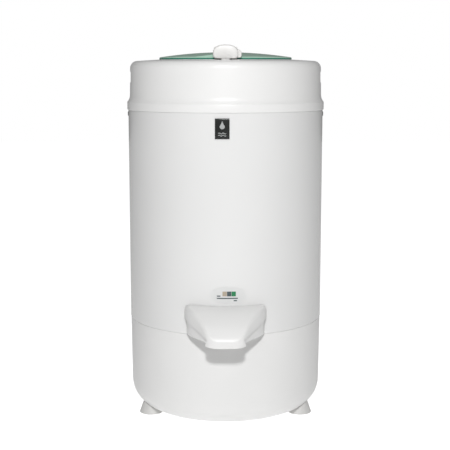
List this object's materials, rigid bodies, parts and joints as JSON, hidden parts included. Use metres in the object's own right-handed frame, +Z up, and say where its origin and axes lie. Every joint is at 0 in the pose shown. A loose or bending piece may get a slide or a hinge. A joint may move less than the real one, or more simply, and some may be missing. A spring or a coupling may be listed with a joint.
{
  "type": "upright spin dryer",
  "caption": "Upright round spin dryer with a domed hinged lid, swinging lid latch, spinning drum with motor and brake, front drain spout and conical feet.",
  "frame": {"origin": "floor level, under the middle of the overall width and depth; the drum's axis stands 30.25 mm behind it", "axes": "+Z up along the drum's axis, -Y towards the front with the spout, +X to the right seen from the front"},
  "size_m": [0.3486, 0.4244, 0.6506],
  "materials": {
    "white_moulding": "gloss",
    "white_enamel": "gloss",
    "grey_moulding": "satin",
    "green_lid": "gloss, translucent in the real thing",
    "black_moulding": "gloss",
    "label_film": "satin",
    "steel": "brushed",
    "dark_steel": "dark",
    "aluminium": "cast",
    "iron": "machined",
    "rubber": "matt"
  },
  "bodies": {
    "housing": {"foot_front_left": "white_moulding", "foot_front_right": "white_moulding", "foot_rear": "white_moulding", "base_tub": "white_moulding", "top_cover": "white_moulding", "drain_spout": "white_moulding", "casing": "white_enamel", "cord_gland": "grey_moulding", "water_catcher": "grey_moulding", "splash_ring": "grey_moulding", "lid_switch": "black_moulding", "badge": "black_moulding", "drain_label": "label_film", "foot_screw_front_left": "steel", "foot_screw_front_right": "steel", "foot_screw_rear": "steel", "hinge_pin": "steel", "brake_bracket": "steel", "brake_pin": "steel", "bearing_upper": "steel", "bearing_lower": "steel", "motor_plate": "steel", "casing_screw_left": "dark_steel", "casing_screw_right": "dark_steel", "casing_screw_rear": "dark_steel", "motor_housing": "aluminium", "capacitor": "aluminium", "motor_stator": "iron", "mouth_seal": "rubber", "shaft_seal": "rubber", "rubber_mount_1": "rubber", "rubber_mount_2": "rubber", "rubber_mount_3": "rubber"},
    "drum_group": {"spin_drum": "steel", "drum_hub": "aluminium", "drum_nut": "steel", "drum_shaft": "steel", "brake_drum": "iron", "motor_rotor": "dark_steel", "cooling_fan": "grey_moulding"},
    "lid_group": {"lid": "green_lid", "latch_pivot": "grey_moulding"},
    "latch_group": {"latch_arm": "white_moulding", "latch_knob": "white_moulding"},
    "slider_group": {"latch_slider": "grey_moulding"},
    "rod_group": {"brake_rod": "steel"},
    "lever_group": {"brake_lever": "steel", "brake_shoe": "rubber"},
    "plunger_group": {"switch_plunger": "white_moulding"}
  },
  "joints": [
    {"name": "drum_spin", "type": "hinge", "parent": "housing", "child": "drum_group", "pos_m": [0, 0.03025, 0.2], "axis": [0, 0, 1], "continuous": true},
    {"name": "lid_hinge", "type": "hinge", "parent": "housing", "child": "lid_group", "pos_m": [0, 0.15725, 0.634], "axis": [-1, 0, 0], "range_deg": [0, 95]},
    {"name": "latch_turn", "type": "hinge", "parent": "lid_group", "child": "latch_group", "pos_m": [0, 0.03025, 0.64], "axis": [0, 0, 1], "range_deg": [-30, 0]},
    {"name": "slider_turn", "type": "hinge", "parent": "housing", "child": "slider_group", "pos_m": [0, 0.03025, 0.61], "axis": [0, 0, 1], "range_deg": [-30, 0]},
    {"name": "rod_lift", "type": "slide", "parent": "housing", "child": "rod_group", "axis": [0, 0, 1], "range_m": [0, 0.005]},
    {"name": "lever_turn", "type": "hinge", "parent": "housing", "child": "lever_group", "pos_m": [0.03671, -0.06061, 0.172], "axis": [-0.9272, -0.3746, 0], "range_deg": [0, 5.8]},
    {"name": "plunger_push", "type": "slide", "parent": "housing", "child": "plunger_group", "axis": [0.2079, -0.9781, 0], "range_m": [0, 0.002]}
  ],
  "couplings": [
    {"joint": "slider_turn", "follows": "latch_turn", "ratio": 1},
    {"joint": "rod_lift", "follows": "latch_turn", "m_per_rad": -0.009548},
    {"joint": "lever_turn", "follows": "latch_turn", "ratio": -0.19},
    {"joint": "plunger_push", "follows": "latch_turn", "m_per_rad": -0.003819}
  ]
}
